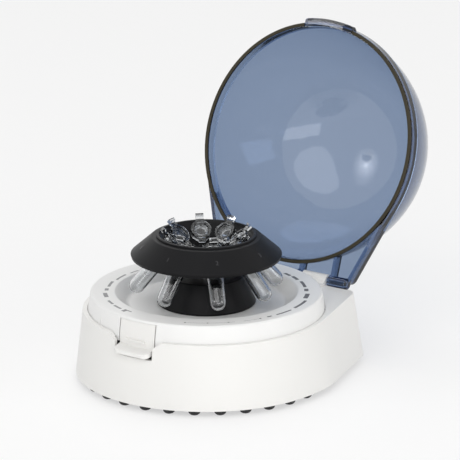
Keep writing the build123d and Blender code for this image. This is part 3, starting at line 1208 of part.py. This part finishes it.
with BuildPart() as switch_rocker:
    with BuildSketch(Plane.YZ.offset(SWITCH_X)):
        with BuildLine():
            Polyline(
                (ROCKER_Y + ROCKER_PLATE_BACK, PANEL_HEIGHT - ROCKER_HALF_HEIGHT),
                (ROCKER_Y + ROCKER_TIP, PANEL_HEIGHT - ROCKER_HALF_HEIGHT),
                (ROCKER_Y + ROCKER_WAIST, PANEL_HEIGHT),
                (ROCKER_Y + ROCKER_TIP, PANEL_HEIGHT + ROCKER_HALF_HEIGHT),
                (ROCKER_Y + ROCKER_PLATE_BACK, PANEL_HEIGHT + ROCKER_HALF_HEIGHT),
                close=True,
            )
        make_face()
        with Locations((ROCKER_Y, PANEL_HEIGHT)):
            Circle(ROCKER_DRUM_RADIUS)
    extrude(amount=ROCKER_HALF_WIDTH, both=True)
    with BuildSketch(Plane.YZ.offset(SWITCH_X)):
        with Locations((ROCKER_Y, PANEL_HEIGHT)):
            Circle(ROCKER_STUB_RADIUS)
    extrude(amount=ROCKER_STUB_END, both=True)
rocker_axis = Axis((0, ROCKER_Y, PANEL_HEIGHT), (1, 0, 0))
save(switch_rocker.part.rotate(rocker_axis, -ROCKER_SWING_ANGLE / 2), "switch_rocker")

# Lid switch under the deck, and the plunger that the lid's pip presses
with BuildPart() as lid_switch_body:
    with BuildSketch(Plane.XY.offset(DECK_UNDERSIDE)):
        with Locations((SENSOR_X + SENSOR_SHIFT, SENSOR_Y)):
            Rectangle(SENSOR_WIDTH, SENSOR_LENGTH)
    extrude(amount=-SENSOR_HEIGHT)
    with BuildSketch(Plane.XY.offset(DECK_UNDERSIDE)):
        with Locations((SENSOR_X, SENSOR_Y)):
            Circle(PLUNGER_RADIUS + SENSOR_CLEARANCE)
    extrude(amount=-SENSOR_ROOF, mode=Mode.SUBTRACT)
    with BuildSketch(Plane.XY.offset(DECK_UNDERSIDE - SENSOR_ROOF)):
        with Locations((SENSOR_X, SENSOR_Y)):
            Circle(PLUNGER_FLANGE_RADIUS + SENSOR_CLEARANCE)
    extrude(amount=-(PLUNGER_FLANGE + PLUNGER_TRAVEL + 2 * SENSOR_CLEARANCE), mode=Mode.SUBTRACT)
save(lid_switch_body.part, "lid_switch_body")

with BuildPart() as lid_switch_plunger:
    flange_top = DECK_UNDERSIDE - SENSOR_ROOF - SENSOR_CLEARANCE
    with BuildSketch(Plane.XY.offset(flange_top)):
        with Locations((SENSOR_X, SENSOR_Y)):
            Circle(PLUNGER_FLANGE_RADIUS)
    extrude(amount=-PLUNGER_FLANGE)
    with BuildSketch(Plane.XY.offset(flange_top)):
        with Locations((SENSOR_X, SENSOR_Y)):
            Circle(PLUNGER_RADIUS)
    extrude(amount=PLUNGER_TOP - flange_top)
save(lid_switch_plunger.part, "lid_switch_plunger")
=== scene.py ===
import bpy, bmesh
from math import cos, pi, radians, sin
from mathutils import Matrix, Vector


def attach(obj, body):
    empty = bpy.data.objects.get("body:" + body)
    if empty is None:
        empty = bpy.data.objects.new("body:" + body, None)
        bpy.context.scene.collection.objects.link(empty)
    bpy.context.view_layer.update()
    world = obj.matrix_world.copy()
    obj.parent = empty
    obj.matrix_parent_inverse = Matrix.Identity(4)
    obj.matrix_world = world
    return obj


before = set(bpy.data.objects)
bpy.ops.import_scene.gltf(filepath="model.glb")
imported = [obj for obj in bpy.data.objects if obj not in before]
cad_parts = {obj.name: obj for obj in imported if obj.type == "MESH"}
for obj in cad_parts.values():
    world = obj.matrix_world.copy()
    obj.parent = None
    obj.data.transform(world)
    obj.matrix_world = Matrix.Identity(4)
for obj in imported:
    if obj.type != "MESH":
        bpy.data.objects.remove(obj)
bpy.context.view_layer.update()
scene = bpy.context.scene
scene.view_settings.view_transform = "Standard"

# Camera: the angles it looks from, its place in metres and its focal length in pixels of the frame
AZ, EL = radians(35.301), radians(16.891)
PLACE = (1.41185, -1.96853, 0.8302)
FOCAL_PIXELS, FRAME_PIXELS, SENSOR = 4087.0, 460.0, 36.0
back = Vector((sin(AZ) * cos(EL), -cos(AZ) * cos(EL), sin(EL)))
right = Vector((cos(AZ), sin(AZ), 0))
up = back.cross(right)
cam_data = bpy.data.cameras.new("camera")
cam = bpy.data.objects.new("camera", cam_data)
scene.collection.objects.link(cam)
cam.matrix_world = Matrix((
    (right.x, up.x, back.x, PLACE[0]),
    (right.y, up.y, back.y, PLACE[1]),
    (right.z, up.z, back.z, PLACE[2]),
    (0, 0, 0, 1),
))
cam_data.sensor_width = SENSOR
cam_data.lens = FOCAL_PIXELS * SENSOR / FRAME_PIXELS
cam_data.clip_end = 60
scene.camera = cam

# Material helpers
def new_material(name):
    mat = bpy.data.materials.new(name)
    mat.use_nodes = True
    nt = mat.node_tree
    return mat, nt, nt.nodes["Principled BSDF"]


def noise(nt, coord, scale, detail=3.0, rough=0.5):
    n = nt.nodes.new("ShaderNodeTexNoise")
    n.inputs["Scale"].default_value = scale
    n.inputs["Detail"].default_value = detail
    n.inputs["Roughness"].default_value = rough
    nt.links.new(coord.outputs["Object"], n.inputs["Vector"])
    return n


def seen_rays(nt):
    """1 for camera, glossy and transmission rays, which see plain white, and 0 for all others."""
    path = nt.nodes.new("ShaderNodeLightPath")
    out = path.outputs["Is Camera Ray"]
    for kind in ("Is Glossy Ray", "Is Transmission Ray"):
        either = nt.nodes.new("ShaderNodeMath")
        either.operation = "MAXIMUM"
        nt.links.new(out, either.inputs[0])
        nt.links.new(path.outputs[kind], either.inputs[1])
        out = either.outputs["Value"]
    return out


def plastic(name, color, rough=0.35, vary=0.03, bump=0.03, grain=900.0, rough_vary=0.06, spec=0.5):
    """A moulded surface: two close tones in broad soft patches, uneven gloss and a fine grain."""
    mat, nt, bsdf = new_material(name)
    coord = nt.nodes.new("ShaderNodeTexCoord")
    broad = noise(nt, coord, 22.0, 4.0)
    mix = nt.nodes.new("ShaderNodeMix")
    mix.data_type = "RGBA"
    mix.inputs["A"].default_value = (*[c * (1 - vary) for c in color], 1)
    mix.inputs["B"].default_value = (*[min(1.0, c * (1 + vary)) for c in color], 1)
    nt.links.new(broad.outputs["Fac"], mix.inputs["Factor"])
    nt.links.new(mix.outputs["Result"], bsdf.inputs["Base Color"])
    mid = noise(nt, coord, 130.0, 3.0)
    span = nt.nodes.new("ShaderNodeMapRange")
    span.inputs["To Min"].default_value = max(0.02, rough - rough_vary)
    span.inputs["To Max"].default_value = rough + rough_vary
    nt.links.new(mid.outputs["Fac"], span.inputs["Value"])
    nt.links.new(span.outputs["Result"], bsdf.inputs["Roughness"])
    fine = noise(nt, coord, grain, 2.0)
    b = nt.nodes.new("ShaderNodeBump")
    b.inputs["Strength"].default_value = bump
    b.inputs["Distance"].default_value = 0.0002
    nt.links.new(fine.outputs["Fac"], b.inputs["Height"])
    nt.links.new(b.outputs["Normal"], bsdf.inputs["Normal"])
    bsdf.inputs["Specular IOR Level"].default_value = spec
    return mat


def brushed(name, color, rough=0.3):
    """Turned or drawn metal: fine lines stretched along one way."""
    mat, nt, bsdf = new_material(name)
    coord = nt.nodes.new("ShaderNodeTexCoord")
    mapping = nt.nodes.new("ShaderNodeMapping")
    mapping.inputs["Scale"].default_value = (40, 40, 900)
    nt.links.new(coord.outputs["Object"], mapping.inputs["Vector"])
    lines = nt.nodes.new("ShaderNodeTexNoise")
    lines.inputs["Scale"].default_value = 8.0
    nt.links.new(mapping.outputs["Vector"], lines.inputs["Vector"])
    mix = nt.nodes.new("ShaderNodeMix")
    mix.data_type = "RGBA"
    mix.inputs["A"].default_value = (*[c * 0.8 for c in color], 1)
    mix.inputs["B"].default_value = (*color, 1)
    nt.links.new(lines.outputs["Fac"], mix.inputs["Factor"])
    nt.links.new(mix.outputs["Result"], bsdf.inputs["Base Color"])
    span = nt.nodes.new("ShaderNodeMapRange")
    span.inputs["To Min"].default_value = rough - 0.1
    span.inputs["To Max"].default_value = rough + 0.1
    nt.links.new(lines.outputs["Fac"], span.inputs["Value"])
    nt.links.new(span.outputs["Result"], bsdf.inputs["Roughness"])
    bsdf.inputs["Metallic"].default_value = 1.0
    return mat


def clear(name, color, rough, ior, absorb, density, shade, ripple=0.02):
    """Clear moulded plastic: tinted at its faces and by its depth, with a faint ripple. Shade is what one
    face lets through of the lamps' light."""
    mat, nt, bsdf = new_material(name)
    coord = nt.nodes.new("ShaderNodeTexCoord")
    bsdf.inputs["Base Color"].default_value = (*color, 1)
    bsdf.inputs["Transmission Weight"].default_value = 1.0
    bsdf.inputs["IOR"].default_value = ior
    mid = noise(nt, coord, 60.0, 3.0)
    span = nt.nodes.new("ShaderNodeMapRange")
    span.inputs["To Min"].default_value = rough * 0.6
    span.inputs["To Max"].default_value = rough * 1.4
    nt.links.new(mid.outputs["Fac"], span.inputs["Value"])
    nt.links.new(span.outputs["Result"], bsdf.inputs["Roughness"])
    wave = noise(nt, coord, 18.0, 1.0)
    b = nt.nodes.new("ShaderNodeBump")
    b.inputs["Strength"].default_value = ripple
    b.inputs["Distance"].default_value = 0.0004
    nt.links.new(wave.outputs["Fac"], b.inputs["Height"])
    nt.links.new(b.outputs["Normal"], bsdf.inputs["Normal"])
    path = nt.nodes.new("ShaderNodeLightPath")
    through = nt.nodes.new("ShaderNodeBsdfTransparent")
    through.inputs["Color"].default_value = (*shade, 1)
    pick = nt.nodes.new("ShaderNodeMixShader")
    nt.links.new(path.outputs["Is Shadow Ray"], pick.inputs[0])
    nt.links.new(bsdf.outputs["BSDF"], pick.inputs[1])
    nt.links.new(through.outputs["BSDF"], pick.inputs[2])
    out = nt.nodes["Material Output"]
    nt.links.new(pick.outputs["Shader"], out.inputs["Surface"])
    volume = nt.nodes.new("ShaderNodeVolumeAbsorption")
    volume.inputs["Color"].default_value = (*absorb, 1)
    volume.inputs["Density"].default_value = density
    nt.links.new(volume.outputs["Volume"], out.inputs["Volume"])
    return mat


WHITE = plastic("housing_white", (0.835, 0.828, 0.806), rough=0.36, vary=0.012, bump=0.05, grain=1400.0)
COVER = plastic("cover_white", (0.85, 0.848, 0.838), rough=0.33, vary=0.012, bump=0.05, grain=1400.0)
ROTOR = plastic("rotor_charcoal", (0.010, 0.010, 0.011), rough=0.40, vary=0.15, bump=0.08, grain=2200.0,
                spec=0.10)
COWL = plastic("cowl_black", (0.009, 0.009, 0.010), rough=0.38, vary=0.15, bump=0.08, grain=2000.0,
               spec=0.08)
BLACK = plastic("black_plastic", (0.015, 0.015, 0.016), rough=0.45, vary=0.2, bump=0.1)
RUBBER = plastic("foot_rubber", (0.012, 0.012, 0.013), rough=0.6, vary=0.3, bump=0.25, grain=1800.0,
                 rough_vary=0.1)
SEAL = plastic("seal_rubber", (0.040, 0.034, 0.020), rough=0.5, vary=0.15, bump=0.2, grain=1500.0, spec=0.2)
PLATE = plastic("base_plate_grey", (0.12, 0.12, 0.12), rough=0.55, vary=0.1, bump=0.15)
BOARD = plastic("board_green", (0.02, 0.14, 0.06), rough=0.4, vary=0.2, bump=0.05)
STEEL = brushed("steel", (0.62, 0.62, 0.63), rough=0.3)
CAN = brushed("motor_steel", (0.45, 0.45, 0.46), rough=0.38)
ALUMINIUM = brushed("hub_aluminium", (0.75, 0.75, 0.76), rough=0.28)
BRASS = brushed("pin_brass", (0.75, 0.6, 0.3), rough=0.22)
LID = clear("lid_blue_clear", (0.401, 0.467, 0.571), rough=0.06, ior=1.45, absorb=(0.06, 0.25, 0.52),
            density=200.0, shade=(0.60, 0.66, 0.74))
TUBE = clear("tube_clear", (0.93, 0.935, 0.94), rough=0.05, ior=1.50, absorb=(0.42, 0.45, 0.48),
             density=130.0, shade=(0.86, 0.87, 0.88), ripple=0.015)

node_materials = {
    "base_housing": WHITE, "top_cover": COVER, "latch_tongue": WHITE, "base_plate": PLATE,
    "base_screws": STEEL, "rubber_feet": RUBBER, "motor_can": CAN, "motor_end_cap": BLACK,
    "motor_bearings": STEEL, "motor_mount_plate": STEEL, "damper_grommets": RUBBER,
    "mount_screws": STEEL, "motor_screws": STEEL, "motor_cowl": COWL, "hinge_pins": STEEL,
    "control_board": BOARD, "board_screws": STEEL, "inlet_body": BLACK, "inlet_pin": BRASS,
    "switch_body": BLACK, "switch_rocker": BLACK, "lid_switch_body": BLACK,
    "lid_switch_plunger": COVER, "spindle": STEEL, "drive_hub": ALUMINIUM, "grip_ring": RUBBER,
    "rotor": ROTOR, "lid_dome": LID, "lid_seal": SEAL,
}
for number in range(1, 9):
    node_materials[f"tube_{number}"] = TUBE
for node, mat in node_materials.items():
    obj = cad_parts[node]
    if not obj.material_slots:
        obj.data.materials.append(mat)
    for holder in obj.material_slots:
        holder.material = mat

# Piece helpers
def mesh_piece(name, bm, mat, body):
    me = bpy.data.meshes.new(name)
    bm.normal_update()
    bm.to_mesh(me)
    bm.free()
    obj = bpy.data.objects.new(name, me)
    scene.collection.objects.link(obj)
    me.materials.append(mat)
    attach(obj, body)


def spot(radius, angle, z):
    """A point at this radius and height, with the angle in degrees from the front towards +X."""
    a = radians(angle)
    return Vector((radius * sin(a), -radius * cos(a), z))


def arc_plate(bm, r0, r1, a0, a1, z0, z1, steps=8):
    """A flat printed mark that follows the ring."""
    rows = []
    for i in range(steps + 1):
        a = a0 + (a1 - a0) * i / steps
        rows.append([bm.verts.new(spot(r, a, z)) for r, z in ((r0, z0), (r1, z0), (r1, z1), (r0, z1))])
    for a, b in zip(rows, rows[1:]):
        for k in range(4):
            bm.faces.new((a[k], a[(k + 1) % 4], b[(k + 1) % 4], b[k]))
    bm.faces.new(rows[0][::-1])
    bm.faces.new(rows[-1])
    bmesh.ops.recalc_face_normals(bm, faces=bm.faces)


# Marks printed on the ring
INK = plastic("ring_mark_grey", (0.12, 0.12, 0.125), rough=0.5, vary=0.2, bump=0.1)
FAINT = plastic("ring_line_grey", (0.27, 0.27, 0.275), rough=0.5, vary=0.1, bump=0.1)
RING_Z, FILM = 0.0555, 0.00006
SCALE_LINE, SCALE_SPANS = (0.06555, 0.06585), ((24.2, 50.9), (55.9, 64.6))
# Each mark: its middle angle and half its angle in degrees, its middle radius and half its width in mm
LEFT_MARKS = (
    (-94.6, 3.6, 59.6, 0.5), (-81.3, 5.7, 60.3, 0.7), (-66.6, 5.0, 61.4, 0.9), (-56.0, 1.9, 62.1, 1.2),
    (-45.6, 3.8, 63.2, 1.3), (-32.0, 3.4, 63.9, 0.8), (-22.6, 3.6, 64.2, 0.8), (-13.9, 2.9, 63.1, 0.5),
    (-15.2, 1.2, 65.0, 1.4),
)
RIGHT_MARKS = (
    (157.8, 3.0, 60.4, 1.0), (149.5, 3.6, 61.0, 1.1), (136.6, 5.6, 61.8, 1.0), (125.6, 2.2, 62.2, 1.3),
    (114.4, 4.2, 63.3, 1.4), (99.1, 7.2, 65.0, 0.9), (82.2, 5.7, 65.5, 0.6), (71.7, 1.5, 65.4, 0.6),
    (65.6, 0.5, 65.8, 0.6), (47.4, 0.45, 65.7, 0.45), (36.2, 0.45, 65.7, 0.45), (24.2, 0.45, 65.7, 0.45),
)
for name, marks, ink in (("ring_marks_left", LEFT_MARKS, FAINT), ("ring_marks_right", RIGHT_MARKS, INK)):
    bm = bmesh.new()
    for angle, half, mid, wide in marks:
        radii = (mid - wide) / 1000, (mid + wide) / 1000
        arc_plate(bm, *radii, angle - half, angle + half, RING_Z - FILM, RING_Z + FILM)
    mesh_piece(name, bm, ink, "housing")
bm = bmesh.new()
for a0, a1 in SCALE_SPANS:
    arc_plate(bm, *SCALE_LINE, a0, a1, RING_Z - FILM, RING_Z + FILM / 2, steps=20)
mesh_piece("ring_scale_line", bm, FAINT, "housing")

# Place numbers on the rotor's skirt, whose slope runs between these two points of radius and height
NUMBER = plastic("rotor_number", (0.035, 0.035, 0.038), rough=0.25, vary=0.1, bump=0.02)
SKIRT_INNER, SKIRT_OUTER = Vector((0.033, 0.0919)), Vector((0.047, 0.0796))
NUMBER_RADIUS, NUMBER_HEIGHT, NUMBER_DEPTH = 0.0405, 0.0042, 0.00008
slope = (SKIRT_OUTER - SKIRT_INNER).normalized()
share = (NUMBER_RADIUS - SKIRT_INNER.x) / (SKIRT_OUTER.x - SKIRT_INNER.x)
number_z = SKIRT_INNER.y + share * (SKIRT_OUTER.y - SKIRT_INNER.y)
for number in range(1, 9):
    angle = (number - 1) * 45.0
    curve = bpy.data.curves.new(f"rotor_number_{number}", "FONT")
    curve.body = str(number)
    curve.size = NUMBER_HEIGHT
    curve.extrude = NUMBER_DEPTH
    curve.align_x = "CENTER"
    curve.align_y = "CENTER"
    curve.materials.append(NUMBER)
    piece = bpy.data.objects.new(f"rotor_number_{number}", curve)
    scene.collection.objects.link(piece)
    out = spot(1, angle, 0)
    across = Vector((cos(radians(angle)), sin(radians(angle)), 0))
    down = Vector((out.x * slope.x, out.y * slope.x, slope.y))
    normal = across.cross(-down).normalized()
    place = spot(NUMBER_RADIUS, angle, number_z) + normal * NUMBER_DEPTH / 2
    piece.matrix_world = Matrix((
        (across.x, -down.x, normal.x, place.x),
        (across.y, -down.y, normal.y, place.y),
        (across.z, -down.z, normal.z, place.z),
        (0, 0, 0, 1),
    ))
    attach(piece, "rotor_set")

# Floor, world and lamps. The floor shows this share of plain white and keeps its shading in the rest
FLOOR_WHITE_SHARE = 0.55
bm = bmesh.new()
bmesh.ops.create_grid(bm, x_segments=8, y_segments=8, size=14.0)
me = bpy.data.meshes.new("floor")
bm.to_mesh(me)
bm.free()
floor = bpy.data.objects.new("floor", me)
scene.collection.objects.link(floor)
floor_mat = plastic("floor_pale", (0.96, 0.96, 0.958), rough=0.8, vary=0.004, bump=0.0, spec=0.1)
floor_nt = floor_mat.node_tree
floor_share = floor_nt.nodes.new("ShaderNodeMath")
floor_share.operation = "MULTIPLY"
floor_share.inputs[1].default_value = FLOOR_WHITE_SHARE
floor_nt.links.new(seen_rays(floor_nt), floor_share.inputs[0])
floor_white = floor_nt.nodes.new("ShaderNodeEmission")
floor_white.inputs["Color"].default_value = (1.0, 1.0, 1.0, 1)
floor_white.inputs["Strength"].default_value = 1.02
floor_pick = floor_nt.nodes.new("ShaderNodeMixShader")
floor_nt.links.new(floor_share.outputs["Value"], floor_pick.inputs[0])
floor_nt.links.new(floor_nt.nodes["Principled BSDF"].outputs["BSDF"], floor_pick.inputs[1])
floor_nt.links.new(floor_white.outputs["Emission"], floor_pick.inputs[2])
floor_nt.links.new(floor_pick.outputs["Shader"], floor_nt.nodes["Material Output"].inputs["Surface"])
me.materials.append(floor_mat)

world = bpy.data.worlds.new("studio")
scene.world = world
world.use_nodes = True
wn = world.node_tree
plain = wn.nodes["Background"]
plain.inputs["Color"].default_value = (1.0, 1.0, 1.0, 1)
plain.inputs["Strength"].default_value = 0.47
seen = wn.nodes.new("ShaderNodeBackground")
seen.inputs["Color"].default_value = (0.97, 0.97, 0.97, 1)
seen.inputs["Strength"].default_value = 1.0
pick = wn.nodes.new("ShaderNodeMixShader")
wn.links.new(seen_rays(wn), pick.inputs[0])
wn.links.new(plain.outputs["Background"], pick.inputs[1])
wn.links.new(seen.outputs["Background"], pick.inputs[2])
wn.links.new(pick.outputs["Shader"], wn.nodes["World Output"].inputs["Surface"])


def aim(obj, source, target):
    obj.location = source
    obj.rotation_euler = (Vector(target) - Vector(source)).to_track_quat("-Z", "Y").to_euler()


def softbox(name, source, target, shape, width, height, strength):
    """A plain area lamp. Its power follows its area, so lamps of one strength look equally bright."""
    lamp = bpy.data.lights.new(name, "AREA")
    lamp.shape = shape
    lamp.size, lamp.size_y = width, height
    area = width * height * (1.0 if shape == "RECTANGLE" else pi / 4)
    lamp.energy = strength * area * pi
    obj = bpy.data.objects.new(name, lamp)
    scene.collection.objects.link(obj)
    aim(obj, source, target)


softbox("key_softbox", (0.665, -2.0, 2.10), (-0.03, 0.17, 0.09), "ELLIPSE", 3.4, 2.4, 1.55)
softbox("low_softbox", (1.75, -1.66, 0.30), (0.0, 0.05, 0.06), "RECTANGLE", 2.6, 0.56, 2.3)
softbox("right_softbox", (2.5, 0.45, 0.75), (0.0, 0.0, 0.05), "RECTANGLE", 1.2, 0.9, 3.0)
# A lamp that is brighter towards its middle, made of discs one behind the other
SPOT_TARGET, SPOT_WAY = Vector((0.0, 0.18, 0.10)), Vector((-1.61, -2.31, 1.05))
SPOT_DISCS = ((0.72, 1.0), (0.58, 1.0), (0.44, 1.2), (0.30, 1.4), (0.12, 4.0))
for number, (spread, strength) in enumerate(SPOT_DISCS):
    source = SPOT_TARGET + SPOT_WAY * (1 + 0.01 * number)
    softbox(f"spot_softbox_{number}", source, SPOT_TARGET, "DISK", spread, spread, strength)
sun = bpy.data.lights.new("top_sun", "SUN")
sun.energy = 0.6
sun.angle = radians(40)
top = bpy.data.objects.new("top_sun", sun)
scene.collection.objects.link(top)
aim(top, (-1.05, 1.35, 2.46), (0, 0, 0))
